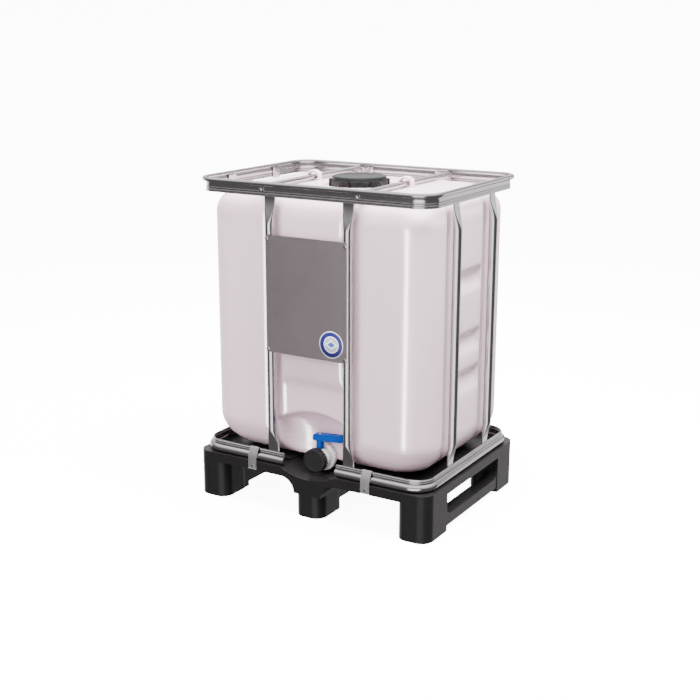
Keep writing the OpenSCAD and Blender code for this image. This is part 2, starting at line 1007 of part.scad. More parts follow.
// The lever: a hub over the stem, a bar towards +X and a short notched tail.
module valve_handle() {
    hub_r = 11;
    tip_half = 8;
    tail = 19;
    bar_low = outlet_z + 57;
    bar_high = outlet_z + 75;
    color("#1b74c8")
        translate([0, -stem_y, 0])
            difference() {
                union() {
                    translate([0, 0, hub_low])
                        cylinder(r = hub_r, h = bar_high - hub_low);
                    intersection() {
                        translate([0, 2 * hub_r, 0])
                            rotate([90, 0, 0])
                                linear_extrude(4 * hub_r)
                                    polygon([
                                        [-tail, bar_low - 1], [8, bar_low - 1], [20, bar_low + 1],
                                        [lever_l - 3, bar_low + 5], [lever_l, bar_low + 8],
                                        [lever_l, bar_high + 6], [lever_l - 3, bar_high + 8],
                                        [4 - tail, bar_high], [-tail, bar_high - 3]
                                    ]);
                        translate([0, 0, bar_low - 5])
                            linear_extrude(50)
                                polygon([
                                    [-tail - eps, -hub_r], [0, -hub_r], [lever_l + eps, -tip_half],
                                    [lever_l + eps, tip_half], [0, hub_r], [-tail - eps, hub_r]
                                ]);
                    }
                }
                translate([0, 0, hub_low - eps])
                    cylinder(r = stem_r, h = 35 + eps);
                translate([0, 0, hub_low])
                    cylinder(r = 2.4, h = 80);
                translate([0, 0, bar_high - 2])
                    cylinder(r = 5.5, h = 30);
                translate([-tail - 3, -4, bar_low - 5])
                    cube([8, 8, 40]);
            }
}

module handle_screw() {
    bar_high = outlet_z + 75;
    color("#c9cbce")
        translate([0, -stem_y, bar_high - 2]) {
            cylinder(r = 4.5, h = 3);
            translate([0, 0, hub_low + 20 - bar_high])
                cylinder(r = 2, h = bar_high - hub_low - 18);
        }
}

// ---------------------------------------------------------------- outlet cap

module cap_gasket() {
    color("#2b2b2d")
        outlet_ring(spout_front, spout_front + 1.5, spout_r - 1, outlet_r);
}

module outlet_cap() {
    color("#1d1d1f")
        difference() {
            translate([0, -cap_back, outlet_z])
                rotate([90, 0, 0])
                    cylinder(d = cap_d, h = cap_front - cap_back);
            translate([0, -cap_back + eps, outlet_z])
                rotate([90, 0, 0])
                    cylinder(r = spout_r + 0.3, h = spout_front + 1.5 - cap_back + eps);
            for (i = [0:23])
                translate([0, -cap_back + eps, outlet_z])
                    rotate([90, i * 15, 0])
                        translate([cap_d / 2 + 1.2, 0, 0])
                            cylinder(r = 2.4, h = cap_front - cap_back - 3);
        }
}

// ---------------------------------------------------------------- filling lid

module lid_seal() {
    color("#2b2b2d")
        translate([0, 0, neck_z])
            difference() {
                cylinder(d = neck_d, h = lid_seal_t);
                translate([0, 0, -eps])
                    cylinder(r = neck_d / 2 - 6, h = 10);
            }
}

module screw_lid() {
    lugs = 6;
    color("#1b1c1e")
        difference() {
            union() {
                translate([0, 0, lid_low])
                    rotate([0, 0, 1.3])
                        cylinder(r = lid_d / 2 - 4.5, h = 24, $fn = 12);
                translate([0, 0, lid_low + 24])
                    cylinder(r1 = lid_d / 2 - 8, r2 = lid_d / 2 - 11.5, h = 11);
                for (i = [0:lugs - 1])
                    rotate([0, 0, i * 360 / lugs + 31.3])
                        translate([lid_d / 2 - 20, -13, lid_low])
                            cube([20, 26, 26]);
            }
            translate([0, 0, lid_low - eps])
                cylinder(r = neck_d / 2 + 0.5, h = neck_z + lid_seal_t - lid_low + eps);
            for (i = [0:lugs - 1])
                rotate([0, 0, i * 360 / lugs + 31.3])
                    translate([lid_d / 2 - 5, -9, lid_low - eps])
                        cube([2.4, 18, 24]);
        }
}

pallet_deck();
skid_left();
skid_centre();
skid_right();
skid_screws();
tank();
outlet_fitting();
bottom_rail();
top_rail();
upright_front_left();
upright_front_right();
upright_back_left();
upright_back_right();
upright_left_front();
upright_left_back();
upright_right_front();
upright_right_back();
cross_bar_left();
cross_bar_right();
cross_bar_bolts();
cross_bar_nuts();
label_plate();
plate_rivets();
round_sticker();
clip_front_left();
clip_front_right();
clip_back_left();
clip_back_right();
clip_screws();
outlet_gasket();
union_nut();
valve_body();
seat_ring();
stem_seal();
valve_disc();
valve_stem();
valve_handle();
handle_screw();
cap_gasket();
outlet_cap();
lid_seal();
screw_lid();
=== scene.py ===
"""Looks of a small liquid container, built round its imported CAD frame.

Lengths are in millimetres here and become metres when a mesh is made. The outlet faces -Y.
"""

import math

import bmesh
import bpy
import numpy as np
from mathutils import Matrix, Vector


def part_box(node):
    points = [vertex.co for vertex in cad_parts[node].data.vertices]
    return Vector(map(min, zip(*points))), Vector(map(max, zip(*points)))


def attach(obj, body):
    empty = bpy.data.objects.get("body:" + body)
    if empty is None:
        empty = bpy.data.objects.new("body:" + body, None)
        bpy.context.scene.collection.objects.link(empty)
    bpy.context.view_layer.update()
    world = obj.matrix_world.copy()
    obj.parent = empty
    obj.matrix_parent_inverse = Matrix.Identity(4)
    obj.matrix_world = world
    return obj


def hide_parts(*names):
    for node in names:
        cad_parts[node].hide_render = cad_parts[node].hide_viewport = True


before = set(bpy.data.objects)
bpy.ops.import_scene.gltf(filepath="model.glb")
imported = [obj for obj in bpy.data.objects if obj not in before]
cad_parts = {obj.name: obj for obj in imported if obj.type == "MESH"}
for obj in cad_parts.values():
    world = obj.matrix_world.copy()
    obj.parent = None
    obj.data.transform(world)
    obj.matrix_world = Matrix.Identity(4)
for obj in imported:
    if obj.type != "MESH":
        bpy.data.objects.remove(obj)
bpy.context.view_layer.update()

MM = 0.001
TAU = 2 * math.pi
AXIS_R = 0.001  # stands for the axis in a turned profile; piece() merges such points into one


def node_box(name):
    """Lowest and highest corner of a CAD node in millimetres."""
    low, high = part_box(name)
    return Vector(low) / MM, Vector(high) / MM


# ------------------------------------------------------------------ mesh helpers


def smooth_max(a, b, k):
    """The larger of two values, with a soft change-over k wide."""
    return (a + b + np.sqrt((a - b) ** 2 + k * k)) / 2


def smooth_min(a, b, k):
    """The smaller of two values, with a soft change-over k wide."""
    return -smooth_max(-a, -b, k)


def unit(v):
    """A 2-D vector made one long."""
    return v / max(np.linalg.norm(v), 1e-9)


def rounded(points, passes=2):
    """An open 2-D line with its corners cut, once for each pass; its ends stay."""
    line = [np.array(p, float) for p in points]
    for _ in range(passes):
        cut = [line[0]]
        for a, b in zip(line, line[1:]):
            cut += [0.75 * a + 0.25 * b, 0.25 * a + 0.75 * b]
        line = cut + [line[-1]]
    return line


def strip(line, thickness):
    """Closed outline of a bent strip of sheet round its centre line."""
    left, right = [], []
    for i, p in enumerate(line):
        along = unit(line[min(i + 1, len(line) - 1)] - line[max(i - 1, 0)])
        across = np.array([-along[1], along[0]]) * thickness / 2
        left.append(p + across)
        right.append(p - across)
    return left + right[::-1]


def arc(centre, radius, start, end, steps):
    """Points on an arc, in degrees."""
    angles = np.radians(np.linspace(start, end, steps + 1))
    return [np.array(centre, float) + radius * np.array([math.cos(a), math.sin(a)]) for a in angles]


def loft(rings, closed_path=False, caps=True):
    """Vertices and faces of a skin through rings of equal length."""
    size = len(rings[0])
    verts = [tuple(p) for ring in rings for p in ring]
    faces = []
    for i in range(len(rings) - (0 if closed_path else 1)):
        a, b = i * size, (i + 1) % len(rings) * size
        for j in range(size):
            k = (j + 1) % size
            faces.append((a + j, a + k, b + k, b + j))
    if caps and not closed_path:
        faces.append(tuple(range(size))[::-1])
        faces.append(tuple(range((len(rings) - 1) * size, len(rings) * size)))
    return verts, faces


def lathe(profile, steps=96, radius_at=None, closed=False):
    """A skin turned about Z from (radius, height) pairs; radius_at(angle, index) changes a radius."""
    rings = []
    for i, (r, z) in enumerate(profile):
        ring = []
        for j in range(steps):
            a = TAU * j / steps
            rr = r * radius_at(a, i) if radius_at else r
            ring.append((rr * math.cos(a), rr * math.sin(a), z))
        rings.append(ring)
    return loft(rings, closed_path=closed)


def moved(shape, matrix):
    """A shape with its vertices put through a matrix."""
    verts, faces = shape
    return [tuple(matrix @ Vector(v)) for v in verts], faces


def joined(*shapes):
    """Several shapes as one."""
    verts, faces = [], []
    for v, f in shapes:
        base = len(verts)
        verts += list(v)
        faces += [tuple(i + base for i in face) for face in f]
    return verts, faces


def box(low, high, radius=0.0, steps=5):
    """A box with round upright edges."""
    centre = [(a + b) / 2 for a, b in zip(low, high)]
    half = [(b - a) / 2 for a, b in zip(low, high)]
    if radius == 0:
        plan = [(half[0], half[1]), (-half[0], half[1]), (-half[0], -half[1]), (half[0], -half[1])]
    else:
        plan = [p[:2] for p in round_plan(half[0], half[1], radius, steps, (1, 1))]
    rings = [[(centre[0] + x, centre[1] + y, z) for x, y in plan] for z in (low[2], high[2])]
    return loft(rings)


def round_plan(half_x, half_y, radius, corner_steps, run_steps):
    """Points round a rectangle with round corners, each with its outward normal: (x, y, nx, ny)."""
    points = []
    heads = [(-1, 0), (0, -1), (1, 0), (0, 1)]
    for turn, (sx, sy) in enumerate([(1, 1), (-1, 1), (-1, -1), (1, -1)]):
        cx, cy = sx * (half_x - radius), sy * (half_y - radius)
        for i in range(corner_steps + 1):
            a = TAU / 4 * (turn + i / corner_steps)
            points.append((cx + radius * math.cos(a), cy + radius * math.sin(a), math.cos(a), math.sin(a)))
        x, y, nx, ny = points[-1]
        run = 2 * (half_x - radius if turn % 2 == 0 else half_y - radius)
        count = run_steps[turn % 2]
        for i in range(1, count):
            step = run * i / count
            points.append((x + heads[turn][0] * step, y + heads[turn][1] * step, nx, ny))
    return points


TURN_Y = Matrix.Rotation(math.radians(90), 4, "X")  # a lathe's +Z becomes -Y


def along_outlet(shape, x=0.0, z=0.0):
    """Turns a shape made about +Z so that it points along -Y, at that height."""
    return moved(shape, Matrix.Translation((x, 0, z)) @ TURN_Y)


def facing(shape, angle):
    """Turns a shape about the vertical axis, in degrees."""
    return moved(shape, Matrix.Rotation(math.radians(angle), 4, "Z"))


def piece(name, shape, material, body, stands_for=(), bevel=0.0, segments=3, sharp=40.0):
    """Makes a closed mesh piece, shaded smooth up to the sharp angle, that rides on a body."""
    verts, faces = shape
    mesh = bpy.data.meshes.new(name)
    mesh.from_pydata([tuple(c * MM for c in v) for v in verts], [], faces)
    work = bmesh.new()
    work.from_mesh(mesh)
    bmesh.ops.remove_doubles(work, verts=work.verts, dist=0.00002)
    loose = [edge for edge in work.edges if not edge.link_faces]
    bmesh.ops.delete(work, geom=loose, context="EDGES")
    bmesh.ops.recalc_face_normals(work, faces=work.faces)
    work.to_mesh(mesh)
    work.free()
    mesh.shade_smooth()
    mesh.set_sharp_from_angle(angle=math.radians(sharp))
    obj = bpy.data.objects.new(name, mesh)
    bpy.context.scene.collection.objects.link(obj)
    obj.data.materials.append(material)
    if bevel:
        soften(obj, bevel, segments, weld=False)
    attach(obj, body)
    if stands_for:
        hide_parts(*stands_for)
    return obj


def soften(obj, width, segments=3, weld=True):
    """Rounds an object's hard edges; weld first joins a CAD node's separate faces."""
    if weld:
        merge = obj.modifiers.new("merge", "WELD")
        merge.merge_threshold = 0.00002
        flat = obj.modifiers.new("flat", "DECIMATE")
        flat.decimate_type = "DISSOLVE"
        flat.angle_limit = math.radians(1.5)
    edge = obj.modifiers.new("edge", "BEVEL")
    edge.width = width * MM
    edge.segments = segments
    edge.limit_method = "ANGLE"
    edge.angle_limit = math.radians(32)
    edge.use_clamp_overlap = True
    shade = obj.modifiers.new("shade", "WEIGHTED_NORMAL")
    shade.keep_sharp = False
    shade.weight = 80


def keep_node(name, material, bevel, segments=3):
    """Keeps a CAD node, with softer edges and a node material."""
    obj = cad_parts[name]
    obj.data.materials.clear()
    obj.data.materials.append(material)
    for polygon in obj.data.polygons:
        polygon.material_index = 0
    if bevel:
        soften(obj, bevel, segments)


# ------------------------------------------------------------------ materials


class Shader:
    """A material's nodes, made and linked by name."""

    def __init__(self, name):
        self.material = bpy.data.materials.new(name)
        self.material.use_nodes = True
        self.tree = self.material.node_tree
        self.tree.nodes.clear()
        self.out = self.tree.nodes.new("ShaderNodeOutputMaterial")
        self.bsdf = self.tree.nodes.new("ShaderNodeBsdfPrincipled")
        self.link(self.bsdf.outputs[0], self.out.inputs["Surface"])
        self.where = self.tree.nodes.new("ShaderNodeTexCoord").outputs["Object"]

    def link(self, a, b):
        """Links an output to an input."""
        self.tree.links.new(a, b)

    def give(self, socket, value):
        """Sets an input to a value or links it to an output."""
        if isinstance(value, bpy.types.NodeSocket):
            self.link(value, socket)
        elif isinstance(value, (tuple, list)) and len(value) == 3 and socket.type == "RGBA":
            socket.default_value = (*value, 1)
        else:
            socket.default_value = value

    def set(self, **values):
        """Sets or links the material's main inputs by name."""
        for key, value in values.items():
            self.give(self.bsdf.inputs[key.replace("_", " ")], value)

    def math(self, kind, a, b=0.0, clamp=False):
        """One sum on two values."""
        node = self.tree.nodes.new("ShaderNodeMath")
        node.operation = kind
        node.use_clamp = clamp
        self.give(node.inputs[0], a)
        self.give(node.inputs[1], b)
        return node.outputs[0]

    def axis(self, letter):
        """One coordinate of the point, in metres."""
        node = self.tree.nodes.new("ShaderNodeSeparateXYZ")
        self.link(self.where, node.inputs[0])
        return node.outputs[letter]

    def noise(self, scale, stretch=(1, 1, 1), detail=4.0, roughness=0.55):
        """Noise from 0 to 1; stretch scales it along each axis."""
        mapping = self.tree.nodes.new("ShaderNodeMapping")
        mapping.inputs["Scale"].default_value = stretch
        self.link(self.where, mapping.inputs[0])
        node = self.tree.nodes.new("ShaderNodeTexNoise")
        node.inputs["Scale"].default_value = scale
        node.inputs["Detail"].default_value = detail
        node.inputs["Roughness"].default_value = roughness
        self.link(mapping.outputs[0], node.inputs["Vector"])
        return node.outputs["Fac"]

    def ramp(self, value, stops):
        """Maps a value through (position, colour) stops."""
        node = self.tree.nodes.new("ShaderNodeValToRGB")
        self.give(node.inputs[0], value)
        points = node.color_ramp.elements
        while len(points) < len(stops):
            points.new(0.5)
        for point, (place, colour) in zip(points, stops):
            point.position = place
            point.color = (*colour, 1) if isinstance(colour, tuple) else (colour, colour, colour, 1)
        return node.outputs[0]

    def between(self, value, low, high):
        """Maps 0..1 to low..high."""
        node = self.tree.nodes.new("ShaderNodeMapRange")
        self.give(node.inputs["Value"], value)
        node.inputs["To Min"].default_value = low
        node.inputs["To Max"].default_value = high
        return node.outputs[0]

    def mix(self, fac, a, b):
        """Blends from one colour to another."""
        node = self.tree.nodes.new("ShaderNodeMix")
        node.data_type = "RGBA"
        self.give(node.inputs[0], fac)
        self.give(node.inputs[6], a)
        self.give(node.inputs[7], b)
        return node.outputs[2]

    def bump(self, height, strength, distance, after=None):
        """A bumpy normal, on top of an earlier one if given."""
        node = self.tree.nodes.new("ShaderNodeBump")
        node.inputs["Strength"].default_value = strength
        node.inputs["Distance"].default_value = distance
        self.give(node.inputs["Height"], height)
        if after is not None:
            self.link(after, node.inputs["Normal"])
        return node.outputs[0]


def tank_plastic():
    """Milky blow-moulded polyethylene: faint clouds, upright flow bands and a fine waxy grain."""
    s = Shader("tank_plastic")
    clouds = s.noise(5, (1, 1, 0.5), 3)
    bands = s.noise(16, (1, 1, 0.04), 3)
    tint = s.ramp(clouds, [(0.3, (0.63, 0.46, 0.535)), (0.7, (0.69, 0.51, 0.585))])
    tint = s.mix(s.math("MULTIPLY", bands, 0.35), tint, (0.74, 0.60, 0.67))
    s.set(Base_Color=tint, Roughness=s.between(s.noise(30, (1, 1, 0.3), 3), 0.22, 0.29))
    s.set(Subsurface_Weight=0.2, Subsurface_Radius=(0.05, 0.045, 0.048), Subsurface_Scale=0.25)
    s.set(Specular_IOR_Level=0.8)
    wave = s.bump(s.noise(9, (1, 1, 0.25), 2), 0.3, 0.006)
    low_down = s.ramp(s.axis("Z"), [(0.22, 1.0), (0.31, 0.0)])
    ripples = s.math("MULTIPLY", s.noise(22, (0.5, 0.5, 4), 2), low_down)
    wave = s.bump(ripples, 0.35, 0.004, wave)
    s.set(Normal=s.bump(s.noise(900, (1, 1, 1), 2), 0.1, 0.0004, wave))
    return s.material


def steel(name, grain, value=0.56, low=0.12, high=0.24):
    """Bright galvanised steel: long drawn lines and soft grey patches; grain stretches the noise."""
    s = Shader(name)
    lines = s.noise(60, grain, 6, 0.65)
    patches = s.noise(9, (1, 1, 1), 4)
    light = tuple(value * f for f in (1.0, 0.985, 0.99))
    dark = tuple(value * 0.66 * f for f in (1.0, 0.97, 0.98))
    tone = s.mix(s.math("MULTIPLY", lines, patches, True), light, dark)
    s.set(Base_Color=tone, Metallic=1.0, Roughness=s.between(patches, low, high))
    s.set(Normal=s.bump(lines, 0.2, 0.0006))
    return s.material


def plate_steel():
    """Dark stainless sheet, brushed from side to side."""
    s = Shader("plate_steel")
    brush = s.noise(26, (1, 1, 34), 8, 0.7)
    cloud = s.noise(3.2, (1, 1, 1.2), 3)
    tone = s.mix(cloud, (0.060, 0.049, 0.052), (0.095, 0.079, 0.084))
    tone = s.mix(s.between(brush, 0.0, 0.3), tone, (0.13, 0.112, 0.118))
    s.set(Base_Color=tone, Metallic=0.5, Roughness=s.between(brush, 0.3, 0.42))
    s.set(Anisotropic=0.4, Normal=s.bump(brush, 0.1, 0.0003))
    return s.material


def moulded(name, colour, low, high, grain=700.0, strength=0.25, shine=0.22):
    """Moulded plastic: one colour that varies a little, with a fine texture and faint flow marks."""
    s = Shader(name)
    flow = s.noise(7, (1, 1, 1), 4)
    darker = tuple(c * 0.78 for c in colour)
    lighter = tuple(min(c * 1.22 + 0.002, 1) for c in colour)
    s.set(Base_Color=s.mix(flow, darker, lighter), Roughness=s.between(s.noise(55, (1, 1, 1), 5), low, high))
    s.set(Specular_IOR_Level=shine)
    s.set(Normal=s.bump(s.noise(grain, (1, 1, 1), 2), strength, 0.0004))
    return s.material


def sticker_print(centre):
    """Round sticker: a navy ring round a silver field with a pale diamond in the middle."""
    s = Shader("sticker_print")
    x = s.math("SUBTRACT", s.axis("X"), centre.x * MM)
    z = s.math("SUBTRACT", s.axis("Z"), centre.z * MM)
    far = s.math("SQRT", s.math("ADD", s.math("MULTIPLY", x, x), s.math("MULTIPLY", z, z)))
    blue, pale, silver = (0.012, 0.012, 0.11), (0.72, 0.73, 0.80), (0.34, 0.35, 0.42)
    tone = s.mix(s.math("LESS_THAN", far, 0.0245), blue, pale)
    tone = s.mix(s.math("LESS_THAN", far, 0.0215), tone, silver)
    diamond = s.math("ADD", s.math("ABSOLUTE", x), s.math("MULTIPLY", s.math("ABSOLUTE", z), 1.5))
    tone = s.mix(s.math("LESS_THAN", diamond, 0.021), tone, pale)
    tone = s.mix(s.math("LESS_THAN", diamond, 0.013), tone, (0.06, 0.10, 0.34))
    tone = s.mix(s.math("GREATER_THAN", far, 0.037), tone, pale)
    s.set(Base_Color=tone, Roughness=s.between(s.noise(40), 0.3, 0.42))
    s.set(Normal=s.bump(s.noise(60), 0.1, 0.0003))
    return s.material


def pale_floor():
    """Plain pale floor."""
    s = Shader("pale_floor")
    pale = s.mix(s.noise(2), (0.88, 0.88, 0.88), (0.9, 0.9, 0.9))
    s.set(Base_Color=pale, Roughness=0.9, Specular_IOR_Level=0.0)
    s.set(Emission_Color=pale, Emission_Strength=12.0)
    return s.material


HDPE = tank_plastic()
RAIL_STEEL = steel("rail_steel", (0.4, 0.4, 14))
TUBE_STEEL = steel("tube_steel", (16, 16, 0.4))
BAR_STEEL = steel("bar_steel", (14, 0.4, 14), 0.5)
CLIP_STEEL = steel("clip_steel", (3, 3, 3), 0.62, 0.34, 0.5)
BOLT_STEEL = steel("bolt_steel", (3, 3, 3), 0.7, 0.16, 0.3)
PLATE_STEEL = plate_steel()
PALLET_PLASTIC = moulded("pallet_plastic", (0.009, 0.0083, 0.0087), 0.28, 0.4, shine=0.15)
CAP_PLASTIC = moulded("cap_plastic", (0.011, 0.0105, 0.0108), 0.3, 0.42)
LID_PLASTIC = moulded("lid_plastic", (0.006, 0.0064, 0.0063), 0.3, 0.42, shine=0.16)
VALVE_PLASTIC = moulded("valve_plastic", (0.80, 0.775, 0.79), 0.24, 0.36, 500, 0.12, 0.5)
LEVER_PLASTIC = moulded("lever_plastic", (0.0005, 0.042, 0.25), 0.34, 0.46, 600, 0.15, 0.08)
SEAL_RUBBER = moulded("seal_rubber", (0.02, 0.02, 0.02), 0.6, 0.75)

# ------------------------------------------------------------------ tank

TANK_LOW, TANK_HIGH = node_box("tank")
TANK_X = TANK_HIGH.x
TANK_Y = TANK_HIGH.y
TANK_TOP = 958
TANK_R = 80
SHOULDER_R = 78
HEEL_R = 112
WALL = 4
GROOVE_X = 130
GROOVE_Y = 118
GROOVE_DEPTH = 13
GROOVE_SPREAD = 74  # across squared that makes the groove 1 mm shallower
UNPRESSED = -30.0
NICHE_R = 160
NICHE_Y = 350
NICHE_Z = 215
NICHE_TOP_R = 112
NICHE_TOP_Y = 300
ARCH_R = 230
ARCH_Z = 88
BANDS = [(738, 708, 672), (552, 525, 485), (440, 412, 366)]  # top edge, floor and bottom edge
BAND_DEPTH = 18
BAND_HALF_W = GROOVE_Y - 28
PANEL_TOP = 418
PANEL_HALF_W = 112
PANEL_DEPTH = 13
DISH_R = 106
DISH_Z = TANK_TOP - 16
NECK_R = 77
NECK_Z = 968
OUTLET_Z = 165
BAR_X = 158  # the two cross bars and the eyes that hold them
EYE_Z = 972


def band_slope(z, band):
    """Depth of a sunken band at height z: zero at its edges, growing from each towards its floor."""
    top, floor_z, bottom = band
    from_top = (top - z) / (top - floor_z - 10)
    from_bottom = (z - bottom) / (floor_z - 10 - bottom)
    return BAND_DEPTH * min(from_top, from_bottom)


def tank_relief(plan, z, wall):
    """How far each plan point is pressed in at height z; negative where nothing presses it."""
    x, y, nx, ny = plan.T
    on_end = np.abs(ny) > 0.999
    on_side = np.abs(nx) > 0.999
    across = np.where(on_end, np.abs(x) - GROOVE_X, np.abs(y) - GROOVE_Y)
    depth = np.where(on_end | on_side, GROOVE_DEPTH - across**2 / GROOVE_SPREAD, UNPRESSED)
    depth = np.maximum(depth, UNPRESSED)
    for band in BANDS:
        sunk = smooth_min(band_slope(z, band), BAND_DEPTH, 5)
        ends = (BAND_HALF_W - np.abs(y)) * 1.4
        depth = np.where(on_side, smooth_max(depth, smooth_min(sunk, ends, 5), 3), depth)
    front = on_end & (y < 0)
    panel = smooth_min(PANEL_DEPTH * (PANEL_TOP - z) / 26, PANEL_DEPTH, 4)
    panel = smooth_min(panel, (PANEL_HALF_W - np.abs(x)) * 1.2, 5)
    bowl = np.sqrt(np.maximum((NICHE_R + wall) ** 2 - x**2, 0)) - (NICHE_Y - TANK_Y)
    rise = max(z - NICHE_Z, 0)
    roll = math.sqrt(max((NICHE_TOP_R + wall) ** 2 - rise**2, 0)) - (NICHE_TOP_Y - TANK_Y)
    arch = (ARCH_R + wall - np.hypot(x, z - ARCH_Z)) * 3
    niche = smooth_min(smooth_min(bowl, roll, 8), arch, 10)
    depth = np.where(front, smooth_max(smooth_max(depth, panel, 3), niche, 5), depth)
    return depth


def tank_rows(wall, step):
    """(inset, height) pairs up the tank's outside from the bed to the top's flat."""
    heel, top = HEEL_R - wall, SHOULDER_R - wall
    low, high = TANK_LOW.z + wall, TANK_TOP - wall
    rows = []
    for a in np.linspace(0, math.pi / 2, 17):
        rows.append((wall + heel * (1 - math.sin(a)), low + heel * (1 - math.cos(a))))
    count = round((high - top - low - heel) / step)
    rows += [(wall, low + heel + (high - top - low - heel) * i / count) for i in range(1, count)]
    for a in np.linspace(0, math.pi / 2, 15):
        rows.append((wall + top * (1 - math.cos(a)), high - top + top * math.sin(a)))
    return rows


def narrower(values, full, zone, inset):
    """Moves coordinates inwards by an inset at the full distance, and hardly at all inside the zone."""
    near = min(zone, (full - inset) * 0.93)
    return np.sign(values) * np.interp(np.abs(values), [0, zone, full], [0, near, full - inset])


def tank_rings(plan, wall, step):
    """Rings of 3-D points up one skin of the tank, grooves, bands and niche included."""
    normal = plan[:, 2:]
    spine = plan[:, :2] - TANK_R * normal
    rings = []
    for inset, z in tank_rows(wall, step):
        depth = tank_relief(plan, z, wall) + wall
        press = smooth_max(np.full(len(plan), float(inset)), depth, 6) - inset
        x = narrower(spine[:, 0], TANK_X - TANK_R, 165, inset)
        y = narrower(spine[:, 1], TANK_Y - TANK_R, 150, inset)
        xy = np.column_stack([x, y]) + normal * (TANK_R - press)[:, None]
        rings.append(np.column_stack([xy, np.full(len(plan), z)]))
    return rings


def shrink(ring, centre_z, steps):
    """Rings that close a flat end towards its middle."""
    return [np.column_stack([ring[:, :2] * k, np.full(len(ring), centre_z)]) for k in steps]


def circle_like(ring, radius, z):
    """A circle with its points at the same directions as a ring's points."""
    angle = np.arctan2(ring[:, 1], ring[:, 0])
    return np.column_stack([radius * np.cos(angle), radius * np.sin(angle), np.full(len(ring), z)])


def tank_skin():
    """The tank as one closed skin: outside up, over the neck, and down the inside."""
    plan = np.array(round_plan(TANK_X, TANK_Y, TANK_R, 14, (116, 76)))
    outer = tank_rings(plan, 0, 5)
    inner = tank_rings(plan, WALL, 20)
    rings = shrink(outer[0], TANK_LOW.z, [0.001, 0.3, 0.6, 0.8, 0.9, 0.96]) + outer
    rim = circle_like(outer[-1], DISH_R + 6, TANK_TOP)
    rings += [outer[-1] * (1 - t) + rim * t for t in np.linspace(0, 1, 24)[1:]]
    mouth = [
        (DISH_R + 3, TANK_TOP - 0.6), (DISH_R + 1, TANK_TOP - 2.2), (DISH_R, TANK_TOP - 5),
        (DISH_R - 0.5, DISH_Z + 4), (DISH_R - 2, DISH_Z + 1.2), (DISH_R - 5, DISH_Z), (92, DISH_Z),
        (NECK_R + 4, DISH_Z), (NECK_R + 1, DISH_Z + 1), (NECK_R, DISH_Z + 4), (NECK_R, NECK_Z - 1.6),
        (NECK_R - 0.5, NECK_Z - 0.5), (NECK_R - 1.6, NECK_Z), (NECK_R - 4.6, NECK_Z),
        (NECK_R - 5.6, NECK_Z - 0.5), (NECK_R - 6, NECK_Z - 1.6), (NECK_R - 6, DISH_Z - WALL),
        (NECK_R + 10, DISH_Z - WALL), (DISH_R + WALL, DISH_Z - WALL), (DISH_R + WALL, TANK_TOP - WALL)
    ]
    rings += [circle_like(outer[-1], r, z) for r, z in mouth]
    rings += inner[::-1]
    rings += shrink(inner[0], TANK_LOW.z + WALL, [0.9, 0.6, 0.3, 0.001])
    return loft(rings)


def tank_eye(x):
    """A domed eye that a cross bar passes through, with its slot."""
    outer, inner = [], []
    for a in np.linspace(-math.pi / 2, math.pi / 2, 33):
        outer.append((23 * math.sin(a), EYE_Z + 17.25 * math.cos(a)))
        inner.append((16 * math.sin(a), EYE_Z + 10.8 * math.cos(a)))
    outer = [(-24, 946)] + outer + [(24, 946)]
    inner = [(-16, 960)] + inner + [(16, 960)]
    loops = []
    for y, line in ((10, outer), (10, inner), (-10, inner), (-10, outer)):
        loops.append([(x + px, y, pz) for px, pz in line])
    return loft(loops, closed_path=True)


def outlet_boss():
    """The tank's moulded outlet with its bore."""
    profile = [(22, 150), (28, 150), (30, 188), (33, 189), (31, 192), (31, 203.4), (30.4, 204), (22, 204)]
    return along_outlet(lathe(profile, 96, closed=True), z=OUTLET_Z)


piece("tank_skin", tank_skin(), HDPE, "container", ["tank"], sharp=60)
for eye_name, eye_x in (("tank_eye_left", -BAR_X), ("tank_eye_right", BAR_X)):
    piece(eye_name, tank_eye(eye_x), HDPE, "container", bevel=3.2, segments=4)
piece("tank_outlet", outlet_boss(), HDPE, "container", ["outlet_fitting"], bevel=0.6)

# ------------------------------------------------------------------ steel frame

RAIL_X = node_box("top_rail")[1].x - 14
RAIL_Y = node_box("top_rail")[1].y - 14
RAIL_R = 54
RAIL_CORNER_STEPS = 18
RAIL_TOP = node_box("top_rail")[1].z
RIM_Z = node_box("bottom_rail")[0].z
LOW_RAIL_TOP = node_box("bottom_rail")[1].z
SHEET = 1.6
GAP = 90
UPRIGHT_Z = (150, 184, 250, 862, 941, 973)  # flat end, press, tube, press, flat end
TUBE_R = 12.5
TUBE_OUT = 4.5
FLAT_HALF_W = 19
FLAT_HALF_T = 2


def top_rail_section():
    """Rolled bead above a ribbed band with a turned-out lip."""
    z = RAIL_TOP
    roll = arc((7, z - 7), 6.2, -55, 232, 26)
    band = rounded([
        (2.9, z - 12.4), (2.2, z - 15), (1.3, z - 18), (1, z - 22), (1, z - 26),
        (1.3, z - 27.8), (3.4, z - 29), (1.3, z - 30.2), (1, z - 32),
        (1.3, z - 33.8), (3.4, z - 35), (1.3, z - 36.2), (1, z - 38),
        (1, z - 40), (1.6, z - 41.2), (4.2, z - 41.2)
    ])
    return strip(roll + band, SHEET)


def bottom_rail_section():
    """Half-round bead below a ribbed flange."""
    z = RIM_Z
    top = LOW_RAIL_TOP
    bead = arc((2, z + 12.4), 11.5, -88, 78, 22)
    low = [np.array([0.9, z + 3.4]), np.array([1.2, z + 1.6])]
    flange = rounded([
        (2.6, top - 13.8), (1, top - 12.6), (1, top - 11.4),
        (1.4, top - 10.6), (4, top - 9.4), (1.4, top - 8.2), (1, top - 7), (1, top - 6),
        (1.4, top - 5.2), (4, top - 4), (1.4, top - 2.8), (1, top - 1.8), (1, top - 0.4)
    ])
    return strip(low + bead + flange, SHEET)


